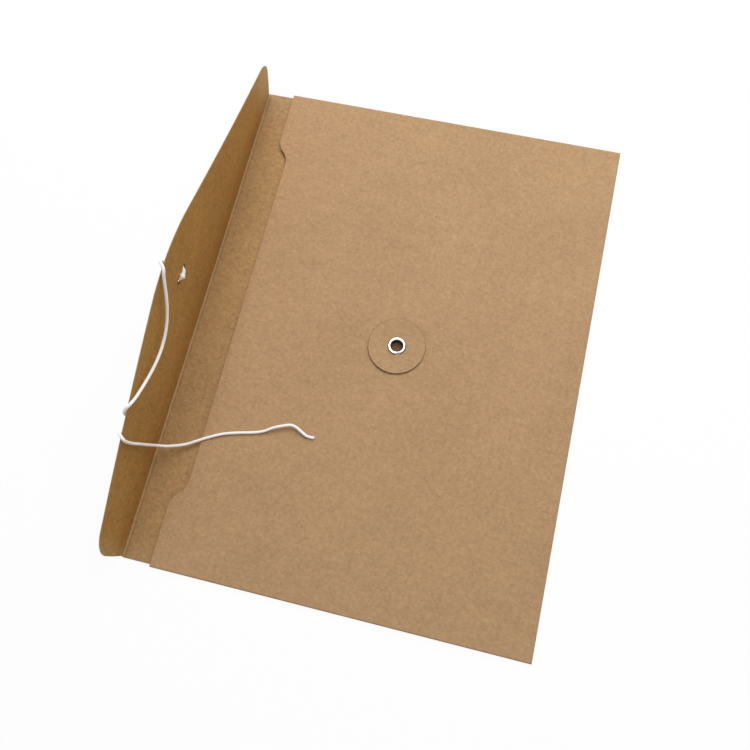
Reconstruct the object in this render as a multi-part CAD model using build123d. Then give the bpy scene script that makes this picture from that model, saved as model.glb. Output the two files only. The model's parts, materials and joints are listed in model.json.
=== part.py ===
from build123d import *
import os
from math import cos, radians, sin, tan

# String tie envelope in folded kraft board, in millimetres.
# X runs from the mouth to the closed edge, Y along the long side and Z up from the table.
# The origin is the middle of the closed envelope's underside.

# Folded blank
front_length = 320.0
front_width = 220.7
mouth_strip = 17.85
board = 0.4
pocket_gap = 1.7
back_inset = 1.35
cut_overrun = 1.0

# Finger recess along the mouth edge of the front panel
recess_depth = 8.0
recess_half_length = 125.0
recess_turn = 48.0

# Side flaps, folded in behind the front panel and glued to the back panel
side_flap_width = 18.0
side_flap_setback = 12.0
side_flap_taper = 9.0
glue_film = 0.1
glue_width = 11.0
glue_end_margin = 6.0

# Closing flap and its scored crease
flap_rest_angle = 94.0
flap_end_depth = 37.8
flap_point_depth = 88.5
flap_point_radius = 70.0
flap_corner_radius = 14.5
crease_half_width = 0.35
crease_clearance = 0.05

# Turning button and the eyelet that holds it
button_from_closed_edge = 112.0
button_radius = 17.0
button_thickness = 0.6
button_clearance = 0.1
eyelet_bore_radius = 3.65
eyelet_wall = 0.3
eyelet_flange_width = 1.65
eyelet_flange_height = 0.75
eyelet_curl_width = 1.35
eyelet_curl_height = 0.5
eyelet_clearance = 0.05

# String, its two holes in the flap and its knot
string_diameter = 1.6
string_hole_radius = 1.2
string_hole_spacing = 10.2
string_hole_depth = 51.3
stitch_bend_radius = 1.0
stitch_lift = 0.1
stitch_tuck = 0.3
knot_radius = 1.5
knot_aside = 1.9
knot_along = 2.2
arc_run_share = 0.45

# Route of the string from its hole in the flap's outer face: over the flap's point, in a slack
# bow down the inner face, over the edge, round a loop behind it and back over the edge again
lead_route = [
    (-116.0, -5.1, 51.9),
    (-120.0, -5.1, 52.2),
    (-120.25, -5.5, 59.0),
    (-119.5, -7.5, 69.0),
    (-119.0, -9.5, 80.0),
    (-119.5, -11.5, 90.0),
    (-109.5, -13.0, 89.0),
    (-111.0, -15.5, 76.5),
    (-112.5, -20.0, 65.0),
    (-113.5, -26.0, 56.0),
    (-113.5, -33.0, 50.0),
    (-114.0, -41.0, 45.5),
    (-114.0, -50.5, 45.5),
    (-114.0, -58.5, 49.5),
    (-113.5, -66.5, 54.0),
    (-112.5, -74.0, 58.5),
    (-111.0, -81.5, 66.5),
    (-121.0, -85.0, 67.5),
    (-120.25, -86.0, 56.0),
    (-119.0, -86.0, 45.5),
    (-118.75, -86.5, 33.5),
    (-118.75, -97.5, 32.5),
    (-119.0, -98.0, 43.5),
    (-120.25, -98.0, 53.0),
    (-121.0, -98.0, 64.0),
    (-111.0, -98.0, 63.0),
    (-112.9, -98.0, 50.0),
    (-113.6, -97.25, 43.75),
]

# The rest of the string: down the flap, over the mouth and across the front panel to its cut end
tail_route = [
    (-113.6, -97.25, 43.75),
    (-114.3, -96.5, 37.5),
    (-114.3, -94.5, 26.0),
    (-114.5, -93.0, 13.5),
    (-110.5, -91.5, 9.0),
    (-105.0, -89.5, 7.5),
    (-99.0, -87.0, 7.0),
    (-93.0, -83.0, 6.5),
    (-87.0, -79.5, 5.0),
    (-82.0, -76.5, 4.0),
    (-76.0, -74.5, 3.5),
    (-69.0, -72.5, 3.5),
    (-62.0, -71.0, 3.5),
    (-57.0, -69.0, 4.0),
    (-52.5, -66.0, 5.0),
    (-47.5, -64.0, 5.5),
    (-42.5, -62.0, 5.5),
    (-38.5, -63.0, 5.0),
    (-35.0, -65.0, 4.5),
    (-31.5, -66.0, 3.5),
    (-27.5, -65.5, 3.5),
]

# Levels and edges that follow from the sizes above
front_under = board + pocket_gap
front_top = front_under + board
closed_width = front_width + mouth_strip + crease_half_width
closed_edge = closed_width / 2
mouth_edge = closed_edge - front_width
crease_axis = mouth_edge - mouth_strip
crease_height = board + crease_clearance + board / 2
closed_fold_radius = front_top / 2
flat_end = closed_edge - closed_fold_radius
side_flap_under = board + glue_film
side_fold_radius = (front_top - side_flap_under) / 2
side_fold_line = front_length / 2 - side_fold_radius
back_half_length = front_length / 2 - back_inset
button_x = closed_edge - button_from_closed_edge
barrel_radius = eyelet_bore_radius + eyelet_wall
button_under = front_top + button_clearance
button_top = button_under + button_thickness


def slab(x_low, x_high, y_low, y_high, z_low, z_high):
    """A flat block between two corners."""
    size = Box(x_high - x_low, y_high - y_low, z_high - z_low, align=Align.MIN)
    return Pos(x_low, y_low, z_low) * size


def fold_shell(radius, length):
    """Board bent through half a turn about Z, bulging towards +Y, centred on its length."""
    outside = Cylinder(radius, length, arc_size=180, align=(Align.NONE, Align.NONE, Align.CENTER))
    inside = Cylinder(radius - board, length + cut_overrun)
    return outside - inside


def front_panel():
    """Front panel with the finger recess in its mouth edge and the eyelet's hole."""
    sway_radius = recess_depth / (2 * (1 - cos(radians(recess_turn))))
    sway_length = 2 * sway_radius * sin(radians(recess_turn))
    recess_edge = mouth_edge + recess_depth
    recess_flat = recess_half_length - sway_length
    down = (0, -1)
    tab_far = Line((mouth_edge, side_fold_line), (mouth_edge, recess_half_length))
    sway_in = JernArc(tab_far @ 1, down, sway_radius, recess_turn)
    sway_to_recess = JernArc(sway_in @ 1, sway_in % 1, sway_radius, -recess_turn)
    recess = Line(sway_to_recess @ 1, (recess_edge, -recess_flat))
    sway_out = JernArc(recess @ 1, down, sway_radius, -recess_turn)
    sway_to_tab = JernArc(sway_out @ 1, sway_out % 1, sway_radius, recess_turn)
    tab_near = Line(sway_to_tab @ 1, (mouth_edge, -side_fold_line))
    around = Polyline(
        tab_near @ 1,
        (flat_end, -side_fold_line),
        (flat_end, side_fold_line),
        tab_far @ 0,
    )
    edges = [tab_far, sway_in, sway_to_recess, recess, sway_out, sway_to_tab, tab_near, around]
    sheet = extrude(make_face(edges), amount=board)
    hole = Pos(button_x, 0, board / 2) * Cylinder(barrel_radius + eyelet_clearance, board + cut_overrun)
    return Pos(0, 0, front_under) * (sheet - hole)


def back_panel():
    """Back panel, which runs past the front panel's mouth edge up to the crease."""
    start = crease_axis + crease_half_width
    return slab(start, flat_end, -back_half_length, back_half_length, 0, board)


def flap_crease():
    """Scored strip that the closing flap bends along."""
    start = crease_axis - crease_half_width
    end = crease_axis + crease_half_width
    return slab(start, end, -back_half_length, back_half_length, 0, board)


def closed_edge_fold():
    """Fold that joins the front and back panels along the closed edge."""
    shell = fold_shell(closed_fold_radius, 2 * back_half_length)
    return Pos(flat_end, 0, closed_fold_radius) * Rot(90, 0, 0) * Rot(0, 0, -90) * shell


def side_fold(side):
    """Fold along one short side, from the front panel down to its side flap."""
    length = flat_end - mouth_edge
    shell = Rot(0, 90, 0) * fold_shell(side_fold_radius, length)
    if side < 0:
        shell = Rot(0, 0, 180) * shell
    return Pos((mouth_edge + flat_end) / 2, side * side_fold_line, side_flap_under + side_fold_radius) * shell


def side_flap(side):
    """Side flap with slanted ends, lying on the glue inside the pocket."""
    start = mouth_edge + side_flap_setback
    inner = side_fold_line - side_flap_width
    outline = Polyline(
        (start, side * side_fold_line),
        (start + side_flap_taper, side * inner),
        (flat_end - side_flap_taper, side * inner),
        (flat_end, side * side_fold_line),
        close=True,
    )
    return Pos(0, 0, side_flap_under) * extrude(make_face(outline), amount=board, dir=(0, 0, 1))


def glue_seam(side):
    """Line of glue between a side flap and the back panel, in the middle of the flap's width."""
    start = mouth_edge + side_flap_setback + side_flap_taper + glue_end_margin
    end = flat_end - side_flap_taper - glue_end_margin
    middle = side * (side_fold_line - side_flap_width / 2)
    return slab(start, end, middle - glue_width / 2, middle + glue_width / 2, board, side_flap_under)


def place_on_flap(piece):
    """Turn a piece drawn on the flap lying open, with its crease on Y, to where the flap rests."""
    return Pos(crease_axis, 0, crease_height) * Rot(0, flap_rest_angle, 0) * piece


def closing_flap():
    """Pointed flap with a rounded root on the crease and two holes for the string."""
    edge = FilletPolyline(
        (0, -back_half_length),
        (-flap_end_depth, -back_half_length),
        (-flap_point_depth, 0),
        (-flap_end_depth, back_half_length),
        (0, back_half_length),
        radius=[flap_corner_radius, flap_point_radius, flap_corner_radius],
    )
    outline = make_face([edge, Line(edge @ 1, edge @ 0)])
    sheet = Pos(0, 0, -board / 2) * extrude(outline, amount=board, dir=(0, 0, 1))
    root = Rot(90, 0, 0) * Cylinder(board / 2, 2 * back_half_length)
    holes = [
        Pos(-string_hole_depth, side * string_hole_spacing / 2, 0)
        * Cylinder(string_hole_radius, board + cut_overrun)
        for side in (-1, 1)
    ]
    return place_on_flap(sheet + root - holes)


def cord_tube(points, radii):
    """Round string along straight runs joined by arcs."""
    path = FilletPolyline(*points, radius=radii)
    section = Plane(origin=path @ 0, z_dir=path % 0) * Circle(string_diameter / 2)
    return sweep(section, path=path), path


def string_stitch():
    """Stretch of string across the flap's inner face, from one hole to the other."""
    top = board / 2 + string_diameter / 2 + stitch_lift
    low = -board / 2 - stitch_tuck
    half = string_hole_spacing / 2
    points = [
        (-string_hole_depth, half, low),
        (-string_hole_depth, half, top),
        (-string_hole_depth, -half, top),
        (-string_hole_depth, -half, low),
    ]
    tube, _ = cord_tube(points, stitch_bend_radius)
    return place_on_flap(tube)


def string_knot():
    """Round knot beside the stitch, on its crease side."""
    middle = Pos(knot_aside - string_hole_depth, -knot_along, board / 2 + knot_radius)
    return place_on_flap(middle * Sphere(knot_radius))


def cord_radii(points):
    """The largest arc that each corner of a route has room for."""
    radii = []
    for before, corner, after in zip(points, points[1:], points[2:]):
        run_in = Vector(*corner) - Vector(*before)
        run_out = Vector(*after) - Vector(*corner)
        turn = radians(run_in.get_angle(run_out))
        shorter = min(run_in.length, run_out.length)
        radii.append(arc_run_share * shorter / tan(turn / 2))
    return radii


def free_string(name, points):
    """A free stretch of string, with its radii and volume printed."""
    radii = cord_radii(points)
    tube, path = cord_tube(points, radii)
    section_area = Circle(string_diameter / 2).area
    print(name, "radii", [round(radius, 1) for radius in radii])
    print(name, "length", round(path.length, 1))
    print(name, "volume over section times length", round(tube.volume / (section_area * path.length), 4))
    return tube


def button_disc():
    """Board disc that turns on the eyelet's barrel."""
    disc = Cylinder(button_radius, button_thickness)
    bore = Cylinder(barrel_radius + eyelet_clearance, button_thickness + cut_overrun)
    return Pos(button_x, 0, button_under + button_thickness / 2) * (disc - bore)


def button_eyelet():
    """Metal eyelet: domed flange over the disc, barrel, and a curled edge under the front panel."""
    flange_under = button_top + button_clearance
    flange_radius = barrel_radius + eyelet_flange_width
    curl_radius = barrel_radius + eyelet_curl_width
    flange_middle = (eyelet_bore_radius + flange_radius) / 2
    curl_middle = (eyelet_bore_radius + curl_radius) / 2
    dome = ThreePointArc(
        (eyelet_bore_radius, flange_under),
        (flange_middle, flange_under + eyelet_flange_height),
        (flange_radius, flange_under),
    )
    outside = Polyline(
        dome @ 1,
        (barrel_radius, flange_under),
        (barrel_radius, front_under),
        (curl_radius, front_under),
    )
    curl = ThreePointArc(
        outside @ 1,
        (curl_middle, front_under - eyelet_curl_height),
        (eyelet_bore_radius, front_under),
    )
    bore = Line(curl @ 1, dome @ 0)
    profile = Plane.XZ * make_face([dome, outside, curl, bore])
    return Pos(button_x, 0, 0) * revolve(profile, Axis.Z)


def main():
    parts = {
        "front_panel": front_panel(),
        "back_panel": back_panel(),
        "flap_crease": flap_crease(),
        "closed_edge_fold": closed_edge_fold(),
        "closing_flap": closing_flap(),
        "button_disc": button_disc(),
        "button_eyelet": button_eyelet(),
        "string_stitch": string_stitch(),
        "string_knot": string_knot(),
        "string_lead": free_string("string_lead", lead_route),
        "string_tail": free_string("string_tail", tail_route),
    }
    for name, side in (("far", 1), ("near", -1)):
        parts[f"{name}_side_fold"] = side_fold(side)
        parts[f"{name}_side_flap"] = side_flap(side)
        parts[f"{name}_glue_seam"] = glue_seam(side)
    os.makedirs("parts", exist_ok=True)
    for name, part in parts.items():
        export_step(part, f"parts/{name}.step")


main()
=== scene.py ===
"""String tie envelope: kraft board pieces, button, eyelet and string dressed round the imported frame."""
import json
from math import atan, copysign, cos, exp, pi, radians, sin, sqrt

import bmesh
import bpy
import numpy as np
from mathutils import Matrix, Vector


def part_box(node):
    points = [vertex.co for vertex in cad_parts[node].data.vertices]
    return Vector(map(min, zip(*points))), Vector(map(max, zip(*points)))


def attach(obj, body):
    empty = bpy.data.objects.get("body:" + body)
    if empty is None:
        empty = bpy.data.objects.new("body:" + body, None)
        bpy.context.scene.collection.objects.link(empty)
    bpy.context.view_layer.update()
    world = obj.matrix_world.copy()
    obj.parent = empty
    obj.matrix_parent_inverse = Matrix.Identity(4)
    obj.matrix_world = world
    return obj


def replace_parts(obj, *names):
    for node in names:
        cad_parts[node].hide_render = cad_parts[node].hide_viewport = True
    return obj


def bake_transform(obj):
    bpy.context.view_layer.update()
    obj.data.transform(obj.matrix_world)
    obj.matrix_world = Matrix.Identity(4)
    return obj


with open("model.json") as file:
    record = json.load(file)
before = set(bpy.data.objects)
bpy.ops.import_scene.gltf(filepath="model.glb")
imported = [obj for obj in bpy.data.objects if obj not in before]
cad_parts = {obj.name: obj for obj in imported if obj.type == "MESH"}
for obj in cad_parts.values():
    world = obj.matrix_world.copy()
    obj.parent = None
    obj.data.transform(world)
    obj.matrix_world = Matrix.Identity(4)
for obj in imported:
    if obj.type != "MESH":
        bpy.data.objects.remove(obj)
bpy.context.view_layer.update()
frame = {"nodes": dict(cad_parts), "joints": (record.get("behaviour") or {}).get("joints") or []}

# Places read from the frame, in metres
front_low, front_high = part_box("front_panel")
back_low, back_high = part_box("back_panel")
closed_low, closed_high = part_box("closed_edge_fold")
side_low, side_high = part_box("far_side_fold")
disc_low, disc_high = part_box("button_disc")
eyelet_low, eyelet_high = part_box("button_eyelet")
flap_joint = next(joint for joint in frame["joints"] if joint["name"] == "flap_fold")
hinge = Vector(flap_joint["pos_m"])
board = back_high.z - back_low.z
mouth_edge = front_low.x
flat_end = front_high.x
side_fold_line = front_high.y
back_half_length = back_high.y
button = (disc_low + disc_high) / 2
button_growth = 0.0005
button_radius = (disc_high.x - disc_low.x) / 2 + button_growth
outer_half_length = side_high.y

# Board: rounding of a cut edge, rows of points across a panel and the angle of a sharp edge
cut_round = 0.00011
cut_share = 0.45
rim_steps = np.array([0.0, 0.08, 0.25, 0.55])
panel_rows = 56
length_columns = 90
bend_rows = 15
sharp_angle = radians(50)
hole_segments = 48
drill_depth = 4 * board

# Shifts of the board's pattern, so that its two sides, the front and the button differ
side_shift = 0.3
front_shift = 0.6
disc_shift = (-0.35, 0.40)

# Finger recess in the front panel's mouth edge, and how far the slack mouth lifts and the panel sags
recess_depth = 0.008
recess_half_length = 0.125
recess_turn = radians(48)
recess_sway_reach = 0.018
mouth_lift = 0.00035
mouth_lift_reach = 0.035
sag = 0.00012
sag_waves = 5
recess_columns = 22
middle_columns = 62
tab_columns = 10

# Closing flap, which leans a little more at its far end than at its near one,
# and whose far end follows the fold a little less, to close level with the flap's middle
flap_rest_angle = radians(94)
flap_twist = radians(4.1)
flap_twist_reach = 0.16
flap_end_depth = 0.0364
flap_point_depth = 0.0885
flap_point_radius = 0.09
flap_corner_radius = 0.018
flap_root_inset = 0.0006
flap_root_reach = 0.009
flap_end_flare = 0.0004
flap_end_power = 16
flap_start = 0.0005
flap_rows = 34
flap_edge_rows = 14
flap_low_rows = 20
flap_high_rows = 6
flap_middle_columns = 5
flap_point_columns = 12
flap_slope_columns = 54
flap_corner_columns = 24
# How far from the crease the painted shade on the flap's inner face reaches
crease_shade_reach = 0.016

# Crease with its pale line of wear that also paints the ridge's highlight, its second score line with
# painted shadow in its groove, and the closed edge's fold
crease_offset = 0.0010
crease_start = hinge.x + crease_offset
crease_pattern = 0.0016
crease_wear_and_highlight_width = 0.22
score_offset = 0.0017
score_width = 0.00026
score_depth = 0.00012
score_shadow = 0.30
score_rows = np.linspace(-2.5, 2.5, 11) * score_width
crease_rows = 13
fold_draw_share = 0.8
fold_columns = 80
fold_corner_columns = 8

# Button disc, with a lifted and slightly wavy rim, a painted highlight ring just inside it and painted
# shadow on it
lathe_segments = 160
disc_clearance = 0.00005
disc_rim_zone = 0.0014
disc_flat_radius = 0.006
disc_lift = 0.00055
disc_wave = 0.00010
disc_wave_turn = 0.6
disc_highlight_ring = 0.0008
disc_highlight_width = 0.0004
disc_highlight_strength = 0.25
disc_edge_shadow = 0.85
disc_rim_shadow = 0.5
disc_rim_shadow_reach = 2.5 * cut_round
disc_rows = 22
disc_zone_rows = 8
disc_rim_rows = 9

# Eyelet, with painted shade and dark painted reflections in bands along its rim and bore and in a small
# nick, painted shade on its bore wall, and a spot of painted shade on the back panel below its bore
eyelet_bore = 0.00365
eyelet_wall = 0.0003
eyelet_roll = 0.00085
eyelet_lift = 0.00009
eyelet_lip = (0.00012, 0.00006)
eyelet_roll_rows = 21
eyelet_curl_width = 0.00135
eyelet_curl_rows = 15
eyelet_rim_shade = 0.00062
eyelet_bore_edge_shade = 0.0004
eyelet_shade_fade = 0.00025
bore_wall_shade_fade = 0.0003
nick_turn = radians(290)
nick_width = radians(15)
nick_depth = 0.0010
nick_reach = 0.0012
nick_shade_share = 0.7
under_bore_shade_radius = 0.0062
under_bore_shade_strength = 0.72
under_bore_shade_fade = 0.3
under_bore_shade_rows = np.linspace(-under_bore_shade_radius, under_bore_shade_radius, 25)

# String: its diameter, lay, holes, stitch and knot
string_outline = 0.0018
string_plies = 3
ply_pitch = 0.0042
ply_share = 0.40
ply_sides = 9
string_steps = 24
string_hole_radius = 0.0012
string_hole_spacing = 0.0082
string_hole_depth = 0.0543
string_hole_shift = -0.0008
string_hole_rows = np.linspace(-2, 2, 15) * string_hole_radius
stitch_diameter = 0.0016
stitch_aside = 0.0007
stitch_spline_steps = 12
stitch_steps = ((-0.80, -0.6, 0.1), (-0.78, 0.4, 0.5), (-0.55, 1.1, 1.0), (0.0, 1.1, 1.0),
                (0.55, 1.1, 1.0), (0.78, 0.4, 0.5), (0.80, -0.6, 0.1))
# Painted shade in and round the string's two holes: its strength and reach
hole_shade_strength = 0.95
hole_shade_reach = 2.3
knot_radius = 0.0017
knot_thickness_share = 0.42
knot_thickness = knot_thickness_share * knot_radius
knot_rise = 0.42
knot_spread = 5.2
knot_points = 96
knot_sides = 12
knot_spot = (-0.0022, 0.0550, 0.0015)

# Route of the string: out of its hole, over the flap's point, in a slack bow down the inner face,
# round a loop behind the edge, down the flap and across the mouth to its cut end on the front panel
string_route = [
    (-0.1158, -0.0049, 0.0549),
    (-0.1186, -0.0049, 0.0553),
    (-0.1179, -0.0040, 0.0612),
    (-0.1169, -0.0014, 0.0682),
    (-0.1156, -0.0046, 0.0766),
    (-0.1159, -0.0065, 0.0857),
    (-0.1121, -0.0102, 0.0852),
    (-0.1122, -0.0133, 0.0826),
    (-0.1117, -0.0184, 0.0760),
    (-0.1113, -0.0242, 0.0689),
    (-0.1117, -0.0305, 0.0617),
    (-0.1119, -0.0367, 0.0578),
    (-0.1124, -0.0429, 0.0553),
    (-0.1126, -0.0499, 0.0549),
    (-0.1132, -0.0572, 0.0556),
    (-0.1138, -0.0648, 0.0575),
    (-0.1145, -0.0719, 0.0599),
    (-0.1149, -0.0762, 0.0616),
    (-0.1151, -0.0806, 0.0651),
    (-0.1191, -0.0846, 0.0617),
    (-0.1189, -0.0855, 0.0520),
    (-0.1191, -0.0855, 0.0422),
    (-0.1194, -0.0860, 0.0322),
    (-0.1197, -0.0856, 0.0229),
    (-0.1198, -0.0976, 0.0227),
    (-0.1195, -0.0972, 0.0327),
    (-0.1193, -0.0957, 0.0422),
    (-0.1192, -0.0954, 0.0512),
    (-0.1194, -0.0951, 0.0585),
    (-0.1150, -0.0987, 0.0583),
    (-0.1165, -0.0984, 0.0506),
    (-0.1164, -0.0977, 0.0426),
    (-0.1162, -0.0965, 0.0357),
    (-0.1158, -0.0949, 0.0250),
    (-0.1157, -0.0936, 0.0166),
    (-0.1147, -0.0927, 0.0120),
    (-0.1111, -0.0917, 0.0083),
    (-0.1055, -0.0896, 0.0061),
    (-0.1001, -0.0869, 0.0038),
    (-0.0940, -0.0829, 0.0036),
    (-0.0875, -0.0793, 0.0036),
    (-0.0821, -0.0765, 0.0036),
    (-0.0760, -0.0745, 0.0035),
    (-0.0690, -0.0727, 0.0035),
    (-0.0620, -0.0710, 0.0035),
    (-0.0570, -0.0690, 0.0040),
    (-0.0525, -0.0660, 0.0050),
    (-0.0475, -0.0640, 0.0055),
    (-0.0425, -0.0620, 0.0055),
    (-0.0385, -0.0630, 0.0050),
    (-0.0350, -0.0650, 0.0045),
    (-0.0315, -0.0668, 0.0035),
    (-0.0273, -0.0664, 0.0034),
]

# Camera, measured from the panel's corners in the photograph
camera_place = (0.0481, -0.1326, 0.4338)
camera_forward = Vector((-0.1102, 0.2499, -0.9620))
camera_up = Vector((-0.2116, 0.9398, 0.2684))
camera_lens = 35.56
camera_sensor = 36.0
camera_near = 0.01
camera_far = 20.0

# Light: the white surround's level, and one soft square lamp in metres and watts
fill_level = 0.38
lamp_size = 0.9
lamp_power = 10.6
lamp_place = Vector((0.05, 0.56, 0.86))
lamp_aim = Vector((0.0, 0.05, 0.0))

# Floor: half its side, its cells, its drop below the part, its tone and its share of plain white
floor_half = 3.0
floor_cells = 8
floor_drop = 0.00015
floor_tone = 0.9
floor_glow = 0.93

# Board pattern: scale, detail and roughness of each layer of noise, its share, and the spread of tone
cloud_layer = (22.0, 2.0, 0.5)
patch_layer = (130.0, 2.0, 0.5)
drift_layer = (260.0, 2.0, 0.5)
blotch_layer = (430.0, 3.0, 0.6)
grain_layer = (1500.0, 2.0, 0.6)
cloud_share = 0.30
patch_share = 0.35
blotch_share = 0.9
grain_share = 0.5
fibre_share = 0.45
fibre_layer = (1.0, 1.0, 0.5)
fibre_length = 0.0034
fibre_width = 0.00036
fibre_turns = (8, 63, 118, 158)
outer_spread = (0.72, 1.28)
inner_spread = (0.60, 1.40)
drift_tints = ((1.02, 0.97, 0.92, 1.0), (0.98, 1.01, 0.99, 1.0))

# Flecks in the board: cell, size and share of the cells that have one
dark_fleck = (0.017, 0.00045, 0.05)
light_fleck = (0.021, 0.00038, 0.04)
light_fleck_shift = (0.31, 0.17, 0.0)

# How strongly the board's drift, flecks, cut edges and its pale wear with painted highlights show, and its
# gloss and bump
drift_gain = 1.6
drift_base = -0.3
dark_fleck_strength = 0.55
dark_fleck_tone = 0.25
light_fleck_strength = 0.5
light_fleck_tone = 1.3
rim_strength = 0.6
rim_tone = 0.9
wear_and_highlight_gain = 0.9
wear_and_highlight_base = 0.15
board_rough_gain = 0.14
board_rough_base = 0.80
board_gloss = 0.22
board_bump = 0.3
board_bump_depth = 0.00005

# String finish: lint and slower clouds
lint_layer = (2600.0, 3.0, 0.7)
lint_share = 0.6
tint_layer = (160.0, 2.0, 0.5)
tint_share = 0.4
string_spread = (0.98, 1.03)
string_rough = 0.92
string_gloss = 0.2
string_sheen = 0.7
string_bump = 0.35
string_bump_depth = 0.00008

# Metal and glue finish
smear_layer = (700.0, 3.0, 0.6)
metal_spread = (0.93, 1.04)
metal_shade_share = 0.10
metal_rough_gain = 0.16
metal_rough_base = 0.14
streak_layer = (300.0, 3.0, 0.5)
glue_spread = (0.85, 1.1)
glue_rough = 0.45

# Tones, as linear colour, and where the inner side's tone lightens towards its ends as painted light
outer_tone = (0.432, 0.271, 0.147)
inner_tone = (0.398, 0.240, 0.107)
# The flap's inner face: a darker, deeper brown, painted shade of the standing flap
flap_shaded_tone = (0.428, 0.237, 0.069)
# Inner tones at the ends of the long sides: lighter, painted light where the flap shades the board less
inner_end_lit_tone = (0.404, 0.254, 0.130)
flap_end_lit_tone = (0.492, 0.322, 0.138)
lit_end_offset = 0.008
lit_end_start = 0.136
lit_end_full = 0.158
cut_tone = (0.520, 0.370, 0.220)
string_tone = (0.965, 0.963, 0.950)
metal_tone = (0.880, 0.880, 0.870)
bore_shade_tone = (0.110, 0.085, 0.060)
# Colour of the painted shade in the holes, score groove, under the eyelet's bore and round the disc's rim
painted_shade_tone = (0.070, 0.036, 0.016)
glue_tone = (0.700, 0.660, 0.540)
# Tint of the painted shade on the flap's inner face beside the crease
crease_shade_tint = (0.94, 0.83, 0.68, 1.0)
white = (1.0, 1.0, 1.0, 1.0)


def put(name, points, faces):
    """A mesh object in the row frame, with its normals outward and its sharp edges kept."""
    mesh = bpy.data.meshes.new(name)
    mesh.from_pydata([tuple(point) for point in points], [], faces)
    shape = bmesh.new()
    shape.from_mesh(mesh)
    bmesh.ops.recalc_face_normals(shape, faces=shape.faces)
    shape.to_mesh(mesh)
    shape.free()
    mesh.polygons.foreach_set("use_smooth", [True] * len(mesh.polygons))
    mesh.set_sharp_from_angle(angle=sharp_angle)
    piece = bpy.data.objects.new(name, mesh)
    bpy.context.scene.collection.objects.link(piece)
    return piece


def bands(ones, twos):
    """Faces between each ring of points and its next one."""
    faces = []
    for one, two in zip(ones, twos):
        faces += np.stack([one, np.roll(one, -1), np.roll(two, -1), two], 1).tolist()
    return faces


def numbered(rings):
    """Rings of points as one list, and the numbers of the points in each ring."""
    rings = np.asarray(rings, float)
    count, around = rings.shape[:2]
    return rings.reshape(-1, 3), np.arange(count * around).reshape(count, around)


def skin(rings):
    """Points and faces of a sheet's surface through flat rings, with its two ends filled."""
    points, index = numbered(rings)
    return points, bands(index, index[1:]) + fill(index[0]) + fill(index[-1])


def hoop(rings):
    """Points and faces of the surface through rings whose last one joins the first."""
    points, index = numbered(rings)
    return points, bands(index, np.roll(index, -1, 0))


def tube(rings):
    """Points and faces of a round skin with each end filled by one face."""
    points, index = numbered(rings)
    return points, bands(index, index[1:]) + [index[0].tolist(), index[-1].tolist()]


def fill(ring):
    """Faces across a ring whose point k lies opposite its point k from the end."""
    half = len(ring) // 2
    top = ring[:half]
    bottom = ring[::-1][:half]
    return [[top[k], top[k + 1], bottom[k + 1], bottom[k]] for k in range(half - 1)]


def note(piece, name, values):
    """Keep a number or a vector with each point of a piece, for its material to read."""
    values = np.asarray(values, np.float32)
    kind, field = ("FLOAT", "value") if values.ndim == 1 else ("FLOAT_VECTOR", "vector")
    layer = piece.data.attributes.new(name, kind, "POINT")
    layer.data.foreach_set(field, values.ravel())


def roundness(distance):
    """Share of the board's thickness that is left this far in from a cut edge."""
    inside = np.clip(np.asarray(distance, float) / cut_round, 0, 1)
    return cut_share + (1 - cut_share) * np.sqrt(1 - (1 - inside) ** 2)


def section(start, end, rows, cut_start, cut_end):
    """Stations across a sheet from start to end, and the share of its thickness at each."""
    rim = cut_round * rim_steps
    stations = np.linspace(start + cut_round * cut_start, end - cut_round * cut_end, rows)
    shares = np.ones(rows)
    if cut_start:
        stations = np.concatenate([start + rim, stations])
        shares = np.concatenate([roundness(rim), shares])
    if cut_end:
        stations = np.concatenate([stations, end - rim[::-1]])
        shares = np.concatenate([shares, roundness(rim[::-1])])
    return stations, shares


def cut_columns(columns, low, high):
    """Columns along a sheet with extra ones where its two cut ends are rounded."""
    rim = cut_round * np.append(rim_steps, 1.0)
    inner = columns[(columns > low + 2 * cut_round) & (columns < high - 2 * cut_round)]
    return np.concatenate([low + rim, inner, high - rim[::-1]])


def sheet(name, columns, stations, shares, place, sheet_at, inner_side, wear_and_highlight=None, painted_shade=None, fold=None):
    """A board sheet: place(column, station, height) gives its points, sheet_at its spot on the blank."""
    rings, inner, rim, flat, wear_and_highlights, painted_shades, crease_shades = [], [], [], [], [], [], []
    for column, row, share in zip(columns, stations, shares):
        half = board / 2 * share
        rings.append([place(column, u, h) for u, h in zip(row, half)]
                     + [place(column, u, -h) for u, h in zip(row[::-1], half[::-1])])
        side = np.concatenate([np.ones(len(row)), np.zeros(len(row))])
        inner.append(side if inner_side > 0 else 1 - side)
        rim.append(np.clip((1 - np.concatenate([share, share[::-1]])) / (1 - cut_share), 0, 1))
        both = np.concatenate([row, row[::-1]])
        spots = np.array([sheet_at(column, u) for u in both])
        flat.append(np.column_stack([spots, side_shift * side]))
        # Inner side only: pale wear that also paints highlights, painted shade, and painted shade by the
        # flap's fold
        wear_and_highlights.append(wear_and_highlight(both) * side if wear_and_highlight else 0 * side)
        painted_shades.append(painted_shade(spots) * side if painted_shade else 0 * side)
        crease_shades.append(fold(both) * side if fold else 0 * side)
    piece = put(name, *skin(rings))
    note(piece, "sheet", np.concatenate(flat))
    note(piece, "inner", np.concatenate(inner))
    note(piece, "rim", np.concatenate(rim))
    note(piece, "wear_and_highlight", np.concatenate(wear_and_highlights))
    note(piece, "painted_shade", np.concatenate(painted_shades))
    note(piece, "fold", np.concatenate(crease_shades))
    return piece


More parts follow.
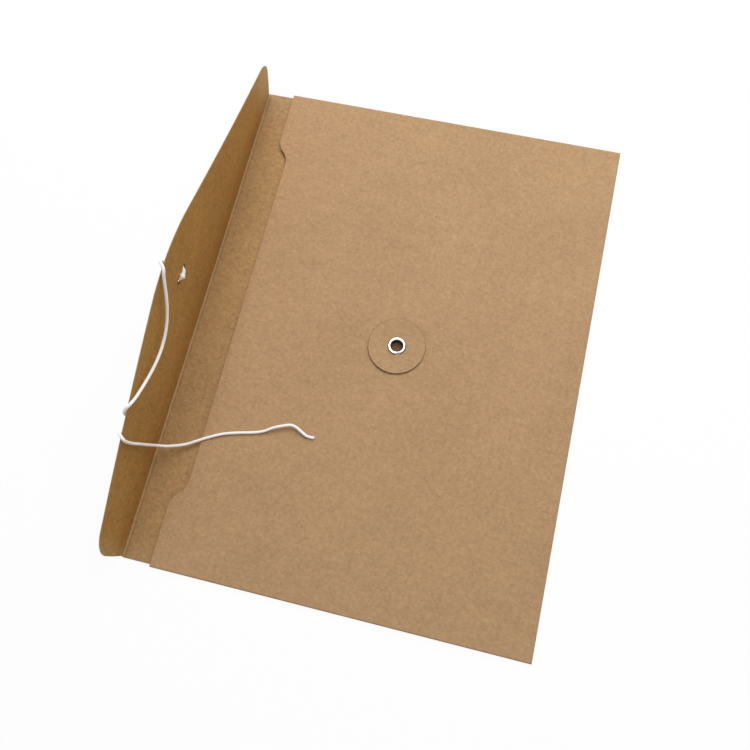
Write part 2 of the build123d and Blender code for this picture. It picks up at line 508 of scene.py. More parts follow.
def drill(piece, centre, axis, radius, depth):
    """Cut a round hole through a piece."""
    bit_shape = bmesh.new()
    turn = Vector((0, 0, 1)).rotation_difference(Vector(axis)).to_matrix().to_4x4()
    bmesh.ops.create_cone(bit_shape, cap_ends=True, segments=hole_segments, radius1=radius, radius2=radius,
                          depth=depth, matrix=Matrix.Translation(centre) @ turn)
    mesh = bpy.data.meshes.new("bit")
    bit_shape.to_mesh(mesh)
    bit_shape.free()
    bit = bpy.data.objects.new("bit", mesh)
    bpy.context.scene.collection.objects.link(bit)
    cut = piece.modifiers.new("hole", "BOOLEAN")
    cut.operation = "DIFFERENCE"
    cut.solver = "EXACT"
    cut.object = bit
    settled(piece)
    bpy.data.objects.remove(bit)


def settled(piece):
    """Apply a piece's modifiers to its mesh."""
    graph = bpy.context.evaluated_depsgraph_get()
    graph.update()
    seen = piece.evaluated_get(graph)
    mesh = bpy.data.meshes.new_from_object(seen, preserve_all_data_layers=True, depsgraph=graph)
    piece.modifiers.clear()
    piece.data = mesh


# Front panel and its folded edges
def mouth_line(y):
    """X of the front panel's mouth edge, which sways in to the finger recess."""
    sway_radius = recess_depth / (2 * (1 - cos(recess_turn)))
    half_sway = sway_radius * sin(recess_turn)
    along = recess_half_length - abs(y)
    if along <= 0:
        return mouth_edge
    if along <= half_sway:
        return mouth_edge + sway_radius - sqrt(sway_radius ** 2 - along ** 2)
    left = 2 * half_sway - along
    if left <= 0:
        return mouth_edge + recess_depth
    return mouth_edge + recess_depth - sway_radius + sqrt(sway_radius ** 2 - left ** 2)


def panel_lift(x, y):
    """How far the front panel stands off its flat place."""
    across = cos(pi * y / (2 * side_fold_line)) ** 2
    lift = mouth_lift * across * np.exp(-(x - mouth_edge) / mouth_lift_reach)
    along = sin(pi * (x - mouth_edge) / (flat_end - mouth_edge))
    return lift + sag * across * along * sin(sag_waves * y / side_fold_line)


def front_panel():
    sway = np.linspace(recess_half_length - recess_sway_reach, recess_half_length, recess_columns)
    middle = np.linspace(-sway[0], sway[0], middle_columns)[1:-1]
    tab = np.linspace(recess_half_length, side_fold_line, tab_columns)[1:]
    columns = np.concatenate([-tab[::-1], -sway[::-1], middle, sway, tab])
    level = (front_low.z + front_high.z) / 2
    stations, shares = zip(*[section(mouth_line(y), flat_end, panel_rows, 1, 0) for y in columns])

    def place(y, x, h):
        return (x, y, level + h + panel_lift(x, y))

    piece = sheet("front_panel_board", columns, stations, shares, place,
                  lambda y, x: (x + front_shift, y), -1)
    drill(piece, (button.x, button.y, level), (0, 0, 1), eyelet_bore + eyelet_wall, drill_depth)
    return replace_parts(piece, "front_panel")


def side_fold(name, side):
    radius = (side_high.z - side_low.z) / 2 - board / 2
    level = (side_low.z + side_high.z) / 2
    columns = np.linspace(0, pi, bend_rows)
    stations, shares = zip(*[section(mouth_edge, flat_end, panel_rows, 1, 1) for _ in columns])

    def place(turn, x, h):
        reach = radius + h
        return (x, side * (side_fold_line + reach * sin(turn)), level + reach * cos(turn))

    piece = sheet(f"{name}_board", columns, stations, shares, place,
                  lambda turn, x: (x + front_shift, side * (side_fold_line + radius * turn)), -1)
    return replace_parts(piece, name)


def closed_edge_fold():
    """Half-round fold along the closed edge, drawn flat at its two ends where the side folds meet it."""
    radius = (closed_high.z - closed_low.z) / 2 - board / 2
    level = (closed_low.z + closed_high.z) / 2
    corner = np.linspace(side_fold_line, outer_half_length, fold_corner_columns)
    straight = np.linspace(-side_fold_line, side_fold_line, fold_columns)[1:-1]
    along = np.concatenate([-corner[::-1], straight, corner])
    columns = cut_columns(along, -outer_half_length, outer_half_length)
    ends = roundness(outer_half_length - np.abs(columns))
    turns = np.linspace(0, pi, bend_rows)
    stations = [turns for _ in columns]
    shares = [np.full(len(turns), end) for end in ends]

    def place(y, turn, h):
        reach = radius + h
        past = max(abs(y) - side_fold_line, 0) / (outer_half_length - side_fold_line)
        drawn = sqrt(1 - fold_draw_share * past ** 2)
        return (flat_end + reach * sin(turn), y, level + reach * cos(turn) * drawn)

    piece = sheet("closed_edge_fold_board", columns, stations, shares, place,
                  lambda y, turn: (flat_end + front_shift + radius * turn, y), -1)
    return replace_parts(piece, "closed_edge_fold")


# Back panel, crease and closing flap
def score(x):
    """Depth of the second score line beside the crease, as a share."""
    return np.exp(-((np.asarray(x) - hinge.x - score_offset) / score_width) ** 2)


def back_panel():
    along = np.linspace(back_low.y, back_high.y, length_columns)
    along = np.concatenate([along[np.abs(along) > under_bore_shade_radius], under_bore_shade_rows])
    columns = cut_columns(np.sort(along), back_low.y, back_high.y)
    ends = roundness(np.minimum(columns - back_low.y, back_high.y - columns))
    lines = score_rows + hinge.x + score_offset
    row = np.concatenate([[crease_start], lines, np.linspace(lines[-1], flat_end, panel_rows)[1:]])
    close = button.x + under_bore_shade_rows
    row = np.unique(np.concatenate([row[np.abs(row - button.x) > under_bore_shade_radius], close]))
    level = (back_low.z + back_high.z) / 2

    # Painted shade: a dark spot on the inner face below the eyelet's bore, and painted shadow in the second
    # score line's groove
    def painted_shade(spots):
        away = np.hypot(spots[:, 0] - button.x, spots[:, 1] - button.y)
        mark = under_bore_shade_strength * np.clip((under_bore_shade_radius - away) / (under_bore_shade_fade * under_bore_shade_radius), 0, 1)
        return np.maximum(mark, score_shadow * score(spots[:, 0]))

    def place(y, x, h):
        return (x, y, level + h - score_depth * score(x) * (h > 0))

    piece = sheet("back_panel_board", columns, [row for _ in columns],
                  [np.full(len(row), end) for end in ends], place, lambda y, x: (x, y), 1, painted_shade=painted_shade)
    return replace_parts(piece, "back_panel")


def flap_angle(y):
    return flap_rest_angle + flap_twist * y / flap_twist_reach


def flap_point(y, depth, height):
    """A point of the flap at rest: depth from the crease, height off its middle towards the inside."""
    angle = flap_angle(y)
    flare = flap_end_flare * depth / flap_end_depth - flap_root_inset * exp(-(depth / flap_root_reach) ** 2)
    aside = y + copysign((abs(y) / back_half_length) ** flap_end_power, y) * flare
    out = depth * sin(angle) + height * cos(angle)
    return (hinge.x - depth * cos(angle) + height * sin(angle), aside, hinge.z + out)


def flap_edge(y):
    """Depth of the flap's outer edge: a rounded point, two straight slopes and rounded corners."""
    across = abs(y)
    slope = (flap_point_depth - flap_end_depth) / back_half_length
    tilt = atan(slope)
    if across < flap_point_radius * sin(tilt):
        return flap_point_depth - flap_point_radius / cos(tilt) + sqrt(flap_point_radius ** 2 - across ** 2)
    middle = back_half_length - flap_corner_radius
    if across <= middle + flap_corner_radius * sin(tilt):
        return flap_point_depth - slope * across
    level = flap_point_depth - slope * middle - flap_corner_radius / cos(tilt)
    return level + sqrt(max(flap_corner_radius ** 2 - (across - middle) ** 2, 0))


def flap_columns():
    tilt = atan((flap_point_depth - flap_end_depth) / back_half_length)
    corner = np.linspace(tilt, pi / 2, flap_corner_columns)
    arc = back_half_length - flap_corner_radius + flap_corner_radius * np.sin(corner)
    point = flap_point_radius * sin(tilt)
    hole = string_hole_spacing / 2 + string_hole_rows
    before = np.linspace(0, hole[0], flap_middle_columns)[:-1]
    beyond = np.linspace(hole[-1], point, flap_point_columns)[1:]
    slope = np.linspace(point, arc[0], flap_slope_columns)[1:]
    half = np.concatenate([before, hole, beyond, slope, arc[1:]])
    return np.concatenate([-half[:0:-1], half])


def flap_section(y):
    """Stations from the crease to the flap's edge, close together beside the string holes."""
    edge = flap_edge(y)
    stations, shares = section(flap_start, edge, flap_rows, 0, 1)
    near = edge * (string_hole_depth + string_hole_rows) / flap_edge(string_hole_spacing / 2)
    low = np.linspace(flap_start, near[0], flap_low_rows)[:-1]
    high = stations[-flap_edge_rows:]
    between = np.linspace(near[-1], high[0], flap_high_rows)[1:-1]
    rows = np.concatenate([low, near, between, high])
    return rows, np.concatenate([np.ones(len(rows) - flap_edge_rows), shares[-flap_edge_rows:]])


def hole_place(side):
    return Vector(flap_point(side * string_hole_spacing / 2 + string_hole_shift, string_hole_depth, 0))


def closing_flap():
    columns = flap_columns()
    ends = roundness(back_half_length - np.abs(columns))
    stations, shares = zip(*[flap_section(y) for y in columns])
    shares = [share * end for share, end in zip(shares, ends)]

    # Painted shade on the flap's inner face, deepest at the crease
    def fold(depth):
        return np.exp(-(depth / crease_shade_reach) ** 2)

    piece = sheet("closing_flap_board", columns, stations, shares, flap_point,
                  lambda y, d: (hinge.x - d, y), 1, fold=fold)
    inward = Vector((sin(flap_rest_angle), 0, cos(flap_rest_angle)))
    for side in (-1, 1):
        drill(piece, hole_place(side), inward, string_hole_radius, drill_depth)
    shade_holes(piece)
    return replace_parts(piece, "closing_flap")


def shade_holes(piece):
    """Painted shade round the string's two holes and on their walls."""
    points = np.array([vertex.co for vertex in piece.data.vertices])
    away = [np.linalg.norm(points - np.array(hole_place(side)), axis=1) for side in (-1, 1)]
    marks = hole_shade_strength * np.clip(hole_shade_reach - np.minimum(*away) / string_hole_radius, 0, 1)
    piece.data.attributes["painted_shade"].data.foreach_set("value", marks.astype(np.float32))


def flap_crease():
    """The bend between the back panel and the flap, as one curved strip."""
    along = np.linspace(back_low.y, back_high.y, length_columns)
    columns = cut_columns(along, back_low.y, back_high.y)
    ends = roundness(np.minimum(columns - back_low.y, back_high.y - columns))
    turns = np.linspace(0, 1, crease_rows)
    level = (back_low.z + back_high.z) / 2

    def place(y, t, h):
        start = np.array([crease_start, level])
        end_x, end_y, end_z = flap_point(y, flap_start, 0)
        end = np.array([end_x, end_z])
        angle = flap_angle(y)
        bend = np.array([end_x + (end_z - level) * cos(angle) / sin(angle), level])
        at = (1 - t) ** 2 * start + 2 * t * (1 - t) * bend + t ** 2 * end
        way = (1 - t) * (bend - start) + t * (end - bend)
        way /= np.hypot(*way)
        return (at[0] + h * way[1], y + (end_y - y) * t ** 2, at[1] - h * way[0])

    # A pale line of wear along the crease that also paints the highlight on its ridge
    def wear_and_highlight(t):
        return np.exp(-((np.asarray(t) - 0.5) / crease_wear_and_highlight_width) ** 2)

    piece = sheet("flap_crease_board", columns, [turns for _ in columns],
                  [np.full(len(turns), end) for end in ends], place,
                  lambda y, t: (crease_start - crease_pattern * t, y), 1, wear_and_highlight=wear_and_highlight)
    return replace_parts(piece, "flap_crease")


# Button and eyelet
def lathe(name, profile, bend):
    """A closed profile of radius and height turned about the button's axis, with its heights bent."""
    rings = []
    for turn in 2 * pi * np.arange(lathe_segments) / lathe_segments:
        way = Vector((cos(turn), sin(turn), 0))
        rings.append([(button.x + radius * way.x, button.y + radius * way.y, height + bend(radius, turn))
                      for radius, height in profile])
    return put(name, *hoop(rings))


def from_button(piece):
    """Each point of a piece, and its distance from the button's axis."""
    points = np.array([vertex.co for vertex in piece.data.vertices])
    return points, np.hypot(points[:, 0] - button.x, points[:, 1] - button.y)


def disc_profile():
    """Outline of the disc's section, from the eyelet out over the top and back underneath."""
    under, top = disc_low.z, disc_high.z
    middle = (top + under) / 2
    straight = (top - under) / 2 - cut_round
    inner = eyelet_bore + eyelet_wall + disc_clearance
    zone = button_radius - disc_rim_zone
    radii = np.concatenate([np.linspace(inner, zone, disc_rows)[:-1],
                            np.linspace(zone, button_radius - cut_round, disc_zone_rows)[:-1]])
    rim = [(button_radius - cut_round * (1 - cos(turn)),
            middle + straight * np.sign(sin(turn)) + cut_round * sin(turn))
           for turn in np.linspace(pi / 2, -pi / 2, disc_rim_rows)]
    return [(r, top) for r in radii] + rim + [(r, under) for r in radii[::-1]]


def disc_bend(radius, turn):
    out = max(radius - disc_flat_radius, 0) / (button_radius - disc_flat_radius)
    return out ** 2 * (disc_lift + disc_wave * sin(2 * turn + disc_wave_turn))


def button_disc():
    piece = lathe("button_disc_board", disc_profile(), disc_bend)
    points, out = from_button(piece)
    upper = side_shift * (points[:, 2] > button.z)
    note(piece, "sheet", np.column_stack([points[:, :2] + disc_shift, upper]))
    note(piece, "inner", np.zeros(len(points)))
    rim = np.clip((out - button_radius + cut_round) / cut_round, 0, 1)
    note(piece, "rim", rim)
    # Painted highlight: a pale ring just inside the rim. Painted shadow: on the rim's cut edge and a band
    # round the top's rim
    pale = np.clip(1 - np.abs(out - button_radius + disc_highlight_ring) / disc_highlight_width, 0, 1)
    note(piece, "wear_and_highlight", disc_highlight_strength * pale)
    edge = disc_rim_shadow * (out > button_radius - disc_rim_shadow_reach)
    note(piece, "painted_shade", np.maximum(disc_edge_shadow * rim, edge))
    note(piece, "fold", np.zeros(len(points)))
    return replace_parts(piece, "button_disc")


def arch(inner, outer, level, rise, count, start=0):
    """Points of a half-ellipse between two radii, from the outer one to the inner one or back."""
    middle = (inner + outer) / 2
    reach = (outer - inner) / 2
    return [(middle + reach * cos(turn), level + rise * sin(turn))
            for turn in start + np.linspace(0, pi, count)]


def button_eyelet():
    flange_under = disc_high.z + eyelet_lift
    barrel = eyelet_bore + eyelet_wall
    flange = eyelet_high.x - button.x
    roll = arch(eyelet_bore, flange, flange_under, eyelet_roll, eyelet_roll_rows)
    curl_rise = front_low.z - eyelet_low.z
    curl = arch(eyelet_bore, barrel + eyelet_curl_width, front_low.z, curl_rise, eyelet_curl_rows, pi)
    lip = (flange - eyelet_lip[0], flange_under - eyelet_lip[1])
    piece = lathe("eyelet_ring", roll + curl + [(barrel, front_low.z), (barrel, flange_under), lip], nick)
    points, out = from_button(piece)
    # Painted shade on the bore wall, below the flange
    deep = np.clip((flange_under + bore_wall_shade_fade - points[:, 2]) / bore_wall_shade_fade, 0, 1)
    note(piece, "bore", deep * (out < barrel))
    turns = np.arctan2(points[:, 1] - button.y, points[:, 0] - button.x) % (2 * pi)
    share = (2 * out - eyelet_bore - flange) / (flange - eyelet_bore)
    dent = np.exp(-((turns - nick_turn) / nick_width) ** 2) * np.clip(share + nick_shade_share, 0, 1)
    # Painted shade and dark painted reflections: bands at the outer rim and the bore's edge, and in the
    # nick
    outer = np.clip((out - flange + eyelet_rim_shade) / eyelet_shade_fade, 0, 1)
    inner = np.clip((eyelet_bore + eyelet_bore_edge_shade - out) / eyelet_shade_fade, 0, 1)
    note(piece, "edge", np.maximum(np.maximum(outer, dent), inner))
    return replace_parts(piece, "button_eyelet")


def nick(radius, turn):
    """A small dent in the eyelet's rolled rim."""
    away = (turn - nick_turn) / nick_width
    out = np.clip((radius - eyelet_bore - eyelet_wall) / nick_reach, 0, 1)
    return -nick_depth * out * np.exp(-away ** 2)


# String
def spline_points(name, route, steps):
    """Points along a smooth spline that has the route's points as its control points."""
    curve = bpy.data.curves.new(name, "CURVE")
    curve.dimensions = "3D"
    spline = curve.splines.new("NURBS")
    spline.points.add(len(route) - 1)
    for point, at in zip(spline.points, route):
        point.co = (*at, 1)
    spline.order_u = 3
    spline.use_endpoint_u = True
    spline.resolution_u = steps
    holder = bpy.data.objects.new(name, curve)
    bpy.context.scene.collection.objects.link(holder)
    bpy.context.view_layer.update()
    mesh = bpy.data.meshes.new_from_object(holder)
    points = np.array([v.co for v in mesh.vertices])
    bpy.data.objects.remove(holder)
    bpy.data.meshes.remove(mesh)
    return points


def frames_along(points):
    """Two directions across the line at each point, carried along it without turning."""
    ways = np.gradient(points, axis=0)
    ways /= np.linalg.norm(ways, axis=1)[:, None]
    across = np.cross(ways[0], (0, 0, 1))
    across /= np.linalg.norm(across)
    firsts = []
    for way in ways:
        across = across - way * (across @ way)
        across /= np.linalg.norm(across)
        firsts.append(across)
    firsts = np.array(firsts)
    return firsts, np.cross(ways, firsts)


def around(points, first, second, radius, sides):
    """A ring of points about each point of a line, across the two directions given there."""
    turns = np.linspace(0, 2 * pi, sides, endpoint=False)
    spokes = np.cos(turns)[:, None] * first[:, None] + np.sin(turns)[:, None] * second[:, None]
    return points[:, None] + radius * spokes


def twisted(points, diameter, phase=0.0):
    """Points and faces of the string's plies twisted together along a line."""
    first, second = frames_along(points)
    run = np.concatenate([[0], np.cumsum(np.linalg.norm(np.diff(points, axis=0), axis=1))])
    ply = diameter * ply_share
    out = diameter / 2 - ply
    strands = []
    for k in range(string_plies):
        turn = 2 * pi * (run / ply_pitch + k / string_plies) + phase
        middle = points + out * (np.cos(turn)[:, None] * first + np.sin(turn)[:, None] * second)
        strands.append(tube(around(middle, first, second, ply, ply_sides)))
    return together(strands)


def together(shapes):
    """Several lists of points and faces as one."""
    points = np.concatenate([shape[0] for shape in shapes])
    faces = []
    shift = 0
    for made, sides in shapes:
        faces += [[i + shift for i in side] for side in sides]
        shift += len(made)
    return points, faces


def tie_string():
    points = spline_points("string_line", string_route, string_steps)
    piece = put("tie_string", *twisted(points, string_outline))
    length = np.linalg.norm(np.diff(points, axis=0), axis=1).sum()
    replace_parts(piece, "string_lead", "string_tail")
    return piece, points, length


def stitch():
    """The string's two passes between its holes on the flap's inner face, dipping into the holes."""
    half = string_hole_spacing / 2
    top = board / 2 + stitch_diameter / 2
    rows = []
    for side in (-1, 1):
        route = []
        for along, height, share in stitch_steps:
            depth = string_hole_depth + side * stitch_aside * share
            route.append(flap_point(half * along + string_hole_shift, depth, top * height))
        line = spline_points("stitch_line", route, stitch_spline_steps)
        rows.append(twisted(line, stitch_diameter, side))
    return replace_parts(put("string_stitch_strands", *together(rows)), "string_stitch")


def knot():
    """A small overhand knot pulled tight, as a trefoil drawn in on itself."""
    middle = np.array(flap_point(*knot_spot))
    turn = np.linspace(0, 2 * pi, knot_points, endpoint=False)
    loop = np.column_stack([knot_rise * np.sin(3 * turn),
                            (np.sin(turn) + 2 * np.sin(2 * turn)) / knot_spread,
                            (np.cos(turn) - 2 * np.cos(2 * turn)) / knot_spread])
    line = middle + knot_radius * loop
    ways = np.roll(line, -1, 0) - np.roll(line, 1, 0)
    ways /= np.linalg.norm(ways, axis=1)[:, None]
    out = line - middle
    out -= ways * (out * ways).sum(1)[:, None]
    out /= np.linalg.norm(out, axis=1)[:, None]
    rings = around(line, out, np.cross(ways, out), knot_thickness, knot_sides)
    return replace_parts(put("string_knot_loops", *hoop(rings)), "string_knot")


# Materials
def add(tree, kind, inputs=None, **settings):
    """A shader node with its settings, and with its inputs set or linked."""
    made = tree.nodes.new(kind)
    for key, value in settings.items():
        setattr(made, key, value)
    for key, value in (inputs or {}).items():
        if isinstance(value, bpy.types.NodeSocket):
            tree.links.new(value, made.inputs[key])
        else:
            made.inputs[key].default_value = value
    return made


def calc(tree, operation, one, two=0.0, three=0.0):
    return add(tree, "ShaderNodeMath", {0: one, 1: two, 2: three}, operation=operation).outputs[0]


def noise(tree, place, scale, detail, roughness):
    inputs = {"Vector": place, "Scale": scale, "Detail": detail, "Roughness": roughness}
    return add(tree, "ShaderNodeTexNoise", inputs).outputs["Fac"]


def mixed(tree, share, one, two, blend="MIX"):
    made = add(tree, "ShaderNodeMix", data_type="RGBA", blend_type=blend)
    for key, value in ((0, share), (6, one), (7, two)):
        if isinstance(value, bpy.types.NodeSocket):
            tree.links.new(value, made.inputs[key])
        else:
            made.inputs[key].default_value = value
    return made.outputs[2]


def attribute(tree, name, output="Fac"):
    return add(tree, "ShaderNodeAttribute", attribute_name=name).outputs[output]


def blank(name):
    """A new material with its node tree and its shader."""
    material = bpy.data.materials.new(name)
    material.use_nodes = True
    return material, material.node_tree, material.node_tree.nodes["Principled BSDF"]


def shade(tone, share):
    return (*[value * share for value in tone], 1.0)


def fibres(tree, place, turn, length, width):
    """Noise drawn out into fibres lying one way."""
    inputs = {"Vector": place, "Rotation": (0, 0, turn), "Scale": (length, width, 1.0)}
    drawn = add(tree, "ShaderNodeMapping", inputs, vector_type="TEXTURE").outputs[0]
    return noise(tree, drawn, *fibre_layer)


def bumpy(tree, shader, height, strength, depth):
    """Fine relief of a surface."""
    bump = add(tree, "ShaderNodeBump", {"Height": height, "Strength": strength, "Distance": depth})
    tree.links.new(bump.outputs[0], shader.inputs["Normal"])


def specks(tree, place, cell, size, share):
    """Small flecks, one in a share of the cells."""
    found = add(tree, "ShaderNodeTexVoronoi", {"Vector": place, "Scale": 1 / cell}, voronoi_dimensions="2D")
    near = calc(tree, "LESS_THAN", found.outputs["Distance"], size / cell)
    chosen = add(tree, "ShaderNodeSeparateColor", {0: found.outputs["Color"]}).outputs[0]
    return calc(tree, "MULTIPLY", near, calc(tree, "LESS_THAN", chosen, share))


def lit_ends_share(tree, place):
    """Share that rises over the last stretch at each end of the long sides, where the inner side is painted
    lighter as painted light, the flap shading it less there.
    """
    across = add(tree, "ShaderNodeSeparateXYZ", {0: place}).outputs[1]
    away = calc(tree, "ABSOLUTE", calc(tree, "ADD", across, lit_end_offset))
    return add(tree, "ShaderNodeMapRange", {0: away, 1: lit_end_start, 2: lit_end_full},
               interpolation_type="SMOOTHSTEP").outputs[0]


def board_pattern(tree, place):
    """Clouds, blotches, grain and fibres added up, with the blotches and the grain by themselves."""
    cloud = noise(tree, place, *cloud_layer)
    patch = noise(tree, place, *patch_layer)
    blotch = noise(tree, place, *blotch_layer)
    grain = noise(tree, place, *grain_layer)
    lay = [fibres(tree, place, radians(turn), fibre_length, fibre_width) for turn in fibre_turns]
    total = calc(tree, "MULTIPLY_ADD", cloud, cloud_share, (1 - cloud_share) / 2)
    parts = [(patch, patch_share), (blotch, blotch_share), (grain, grain_share)]
    for part, share in parts + [(one, fibre_share) for one in lay]:
        total = calc(tree, "ADD", total, calc(tree, "MULTIPLY_ADD", part, share, -share / 2))
    return total, blotch, grain


def inner_colour(tree, place, total, inner, lit_inner_end):
    """Tone of the board's inner side, painted lighter towards its ends as painted light."""
    ends = lit_ends_share(tree, place)
    low, high = [mixed(tree, ends, shade(inner, share), shade(lit_inner_end, share)) for share in inner_spread]
    return mixed(tree, total, low, high)


def flecked(tree, place, colour, outer):
    """Slow drift of the hue, dark flecks and pale ones."""
    drift = calc(tree, "MULTIPLY_ADD", noise(tree, place, *drift_layer), drift_gain, drift_base)
    colour = mixed(tree, 1.0, colour, mixed(tree, drift, *drift_tints), "MULTIPLY")
    dark = calc(tree, "MULTIPLY", specks(tree, place, *dark_fleck), dark_fleck_strength)
    colour = mixed(tree, dark, colour, shade(outer, dark_fleck_tone))
    moved = add(tree, "ShaderNodeVectorMath", {0: place, 1: light_fleck_shift}, operation="ADD").outputs[0]
    light = calc(tree, "MULTIPLY", specks(tree, moved, *light_fleck), light_fleck_strength)
    return mixed(tree, light, colour, shade(cut_tone, light_fleck_tone))


def used(tree, colour, blotch):
    """Pale cut edges, pale wear that also paints highlights, painted shade towards the flap's fold, and
    painted shade in dark places.
    """
    rim = calc(tree, "MULTIPLY", attribute(tree, "rim"), rim_strength)
    colour = mixed(tree, rim, colour, shade(cut_tone, rim_tone))
    # Pale wear, which on the crease and the disc also paints highlights
    patchy = calc(tree, "MULTIPLY_ADD", blotch, wear_and_highlight_gain, wear_and_highlight_base)
    patchy = calc(tree, "MULTIPLY", attribute(tree, "wear_and_highlight"), patchy)
    colour = mixed(tree, patchy, colour, shade(cut_tone, 1.0))
    # Painted shade on the flap's inner face beside the crease
    colour = mixed(tree, attribute(tree, "fold"), colour, crease_shade_tint, "MULTIPLY")
    # Painted shade in the string's holes, the score groove, under the eyelet's bore and round the disc's
    # rim
    return mixed(tree, attribute(tree, "painted_shade"), colour, shade(painted_shade_tone, 1.0))


def board_material(name, outer, inner=None, lit_inner_end=None):
    """Kraft board, with an inner side, and wear, painted highlights and painted shade where the piece's
    points have them noted.
    """
    material, tree, shader = blank(name)
    if inner:
        place = attribute(tree, "sheet", "Vector")
    else:
        place = add(tree, "ShaderNodeTexCoord").outputs["Object"]
    total, blotch, grain = board_pattern(tree, place)
    colour = mixed(tree, total, *[shade(outer, share) for share in outer_spread])
    if inner:
        inside = inner_colour(tree, place, total, inner, lit_inner_end)
        colour = mixed(tree, attribute(tree, "inner"), colour, inside)
    colour = flecked(tree, place, colour, outer)
    if inner:
        colour = used(tree, colour, blotch)
    tree.links.new(colour, shader.inputs["Base Color"])
    rough = calc(tree, "MULTIPLY_ADD", grain, board_rough_gain, board_rough_base)
    tree.links.new(rough, shader.inputs["Roughness"])
    shader.inputs["Specular IOR Level"].default_value = board_gloss
    bumpy(tree, shader, total, board_bump, board_bump_depth)
    return material


def string_material():
    material, tree, shader = blank("cotton_string")
    place = add(tree, "ShaderNodeTexCoord").outputs["Object"]
    lint = noise(tree, place, *lint_layer)
    cloud = noise(tree, place, *tint_layer)
    slow = calc(tree, "MULTIPLY", cloud, tint_share)
    total = calc(tree, "ADD", calc(tree, "MULTIPLY", lint, lint_share), slow)
    colour = mixed(tree, total, *[shade(string_tone, share) for share in string_spread])
    tree.links.new(colour, shader.inputs["Base Color"])
    shader.inputs["Roughness"].default_value = string_rough
    shader.inputs["Specular IOR Level"].default_value = string_gloss
    shader.inputs["Sheen Weight"].default_value = string_sheen
    bumpy(tree, shader, lint, string_bump, string_bump_depth)
    return material


def metal_material():
    material, tree, shader = blank("eyelet_metal")
    place = add(tree, "ShaderNodeTexCoord").outputs["Object"]
    smear = noise(tree, place, *smear_layer)
    bright = mixed(tree, smear, *[shade(metal_tone, share) for share in metal_spread])
    # Painted shade and dark painted reflections along the rim, the bore's edge and the nick, then painted
    # shade on the bore wall
    bright = mixed(tree, attribute(tree, "edge"), bright, shade(metal_tone, metal_shade_share))
    colour = mixed(tree, attribute(tree, "bore"), bright, shade(bore_shade_tone, 1.0))
    tree.links.new(colour, shader.inputs["Base Color"])
    rough = calc(tree, "MULTIPLY_ADD", smear, metal_rough_gain, metal_rough_base)
    tree.links.new(rough, shader.inputs["Roughness"])
    shader.inputs["Metallic"].default_value = 1.0
    return material


def glue_material():
    material, tree, shader = blank("dried_glue")
    place = add(tree, "ShaderNodeTexCoord").outputs["Object"]
    streak = noise(tree, place, *streak_layer)
    colour = mixed(tree, streak, *[shade(glue_tone, share) for share in glue_spread])
    tree.links.new(colour, shader.inputs["Base Color"])
    shader.inputs["Roughness"].default_value = glue_rough
    return material


def paint(piece, material):
    piece.data.materials.clear()
    piece.data.materials.append(material)
    return piece


# Stage
def seen_directly(tree):
    """Share that is 1 for rays straight from the camera, a mirror or a clear piece."""
    path = add(tree, "ShaderNodeLightPath")
    seen = calc(tree, "MAXIMUM", path.outputs["Is Camera Ray"], path.outputs["Is Glossy Ray"])
    return calc(tree, "MAXIMUM", seen, path.outputs["Is Transmission Ray"])


def surround():
    """White surround that gives less light than it shows."""
    world = bpy.data.worlds.new("studio")
    bpy.context.scene.world = world
    world.use_nodes = True
    tree = world.node_tree
    tree.nodes.clear()
    seen = seen_directly(tree)
    fill_light = add(tree, "ShaderNodeBackground", {"Color": white, "Strength": fill_level})
    shown = add(tree, "ShaderNodeBackground", {"Color": white, "Strength": 1.0})
    both = add(tree, "ShaderNodeMixShader", {0: seen, 1: fill_light.outputs[0], 2: shown.outputs[0]})
    output = add(tree, "ShaderNodeOutputWorld", {"Surface": both.outputs[0]})
    output.is_active_output = True


def floor_material():
    material = bpy.data.materials.new("floor")
    material.use_nodes = True
    tree = material.node_tree
    tree.nodes.clear()
    seen = seen_directly(tree)
    matt = add(tree, "ShaderNodeBsdfDiffuse", {"Color": (floor_tone, floor_tone, floor_tone, 1.0)})
    glow = add(tree, "ShaderNodeEmission", {"Color": white, "Strength": 1.0})
    share = calc(tree, "MULTIPLY", seen, floor_glow)
    both = add(tree, "ShaderNodeMixShader", {0: share, 1: matt.outputs[0], 2: glow.outputs[0]})
    add(tree, "ShaderNodeOutputMaterial", {"Surface": both.outputs[0]})
    return material


def pale_floor():
    """Pale floor that keeps a faint shadow."""
    shape = bmesh.new()
    bmesh.ops.create_grid(shape, x_segments=floor_cells, y_segments=floor_cells, size=floor_half)
    mesh = bpy.data.meshes.new("floor")
    shape.to_mesh(mesh)
    shape.free()
    mesh.materials.append(floor_material())
    floor = bpy.data.objects.new("floor", mesh)
    floor.location.z = -floor_drop
    bpy.context.scene.collection.objects.link(floor)


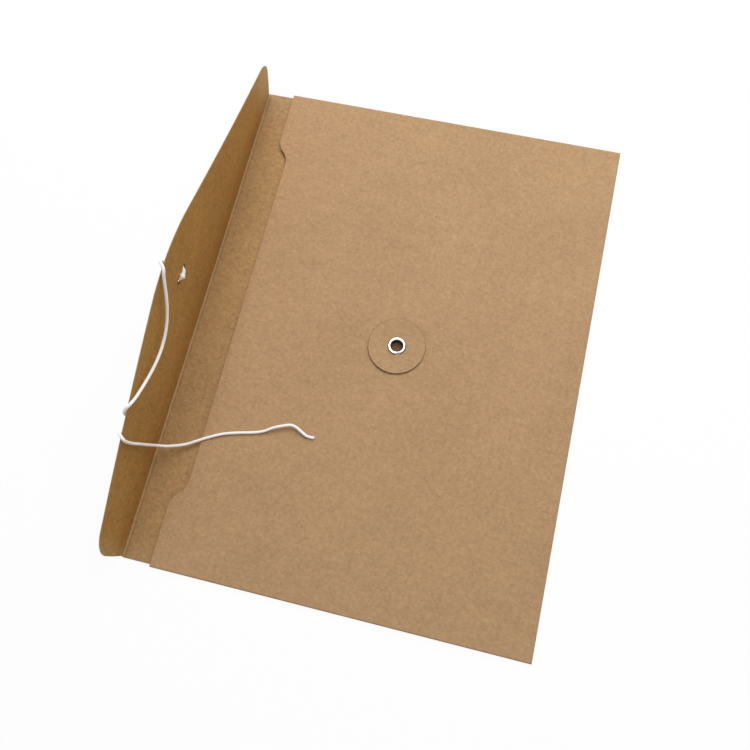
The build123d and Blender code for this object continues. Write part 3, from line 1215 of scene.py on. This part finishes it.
def soft_lamp():
    lamp = bpy.data.lights.new("key", "AREA")
    lamp.size = lamp_size
    lamp.energy = lamp_power
    holder = bpy.data.objects.new("key", lamp)
    holder.location = lamp_place
    holder.rotation_euler = (lamp_aim - lamp_place).to_track_quat("-Z", "Y").to_euler()
    bpy.context.scene.collection.objects.link(holder)


def photo_camera():
    data = bpy.data.cameras.new("photo_camera")
    data.sensor_width = camera_sensor
    data.lens = camera_lens
    data.clip_start = camera_near
    data.clip_end = camera_far
    data.dof.use_dof = False
    holder = bpy.data.objects.new("photo_camera", data)
    forward = camera_forward.normalized()
    right = forward.cross(camera_up).normalized()
    up = right.cross(forward)
    turn = Matrix((right, up, -forward)).transposed().to_4x4()
    holder.matrix_world = Matrix.Translation(camera_place) @ turn
    bpy.context.scene.collection.objects.link(holder)
    bpy.context.scene.camera = holder


def dress_board():
    kraft = board_material("kraft_board", outer_tone, inner_tone, inner_end_lit_tone)
    # The flap's inner face takes its own darker tone, painted shade of the standing flap
    kraft_flap_shaded = board_material("kraft_board_flap_shaded", outer_tone, flap_shaded_tone, flap_end_lit_tone)
    kraft_plain = board_material("kraft_board_inside", inner_tone)
    glue = glue_material()
    fixed = [front_panel(), closed_edge_fold(), back_panel(),
             side_fold("far_side_fold", 1), side_fold("near_side_fold", -1)]
    for piece in fixed:
        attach(paint(piece, kraft), "envelope")
    flap = paint(closing_flap(), kraft_flap_shaded)
    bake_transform(flap)
    crease = paint(flap_crease(), kraft)
    flap_point(0, flap_start, 0)
    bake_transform(crease)
    disc = paint(button_disc(), kraft)
    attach(disc, "button")
    for side in ("far", "near"):
        paint(frame["nodes"][f"{side}_side_flap"], kraft_plain)
        paint(frame["nodes"][f"{side}_glue_seam"], glue)


def dress_fittings():
    eyelet = paint(button_eyelet(), metal_material())
    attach(eyelet, "envelope")
    cotton = string_material()
    string, points, length = tie_string()
    paint(string, cotton)
    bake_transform(string)
    for piece in (stitch(), knot()):
        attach(paint(piece, cotton), "flap")


photo_camera()
surround()
pale_floor()
soft_lamp()
dress_board()
dress_fittings()
bpy.context.scene.view_settings.view_transform = "Standard"
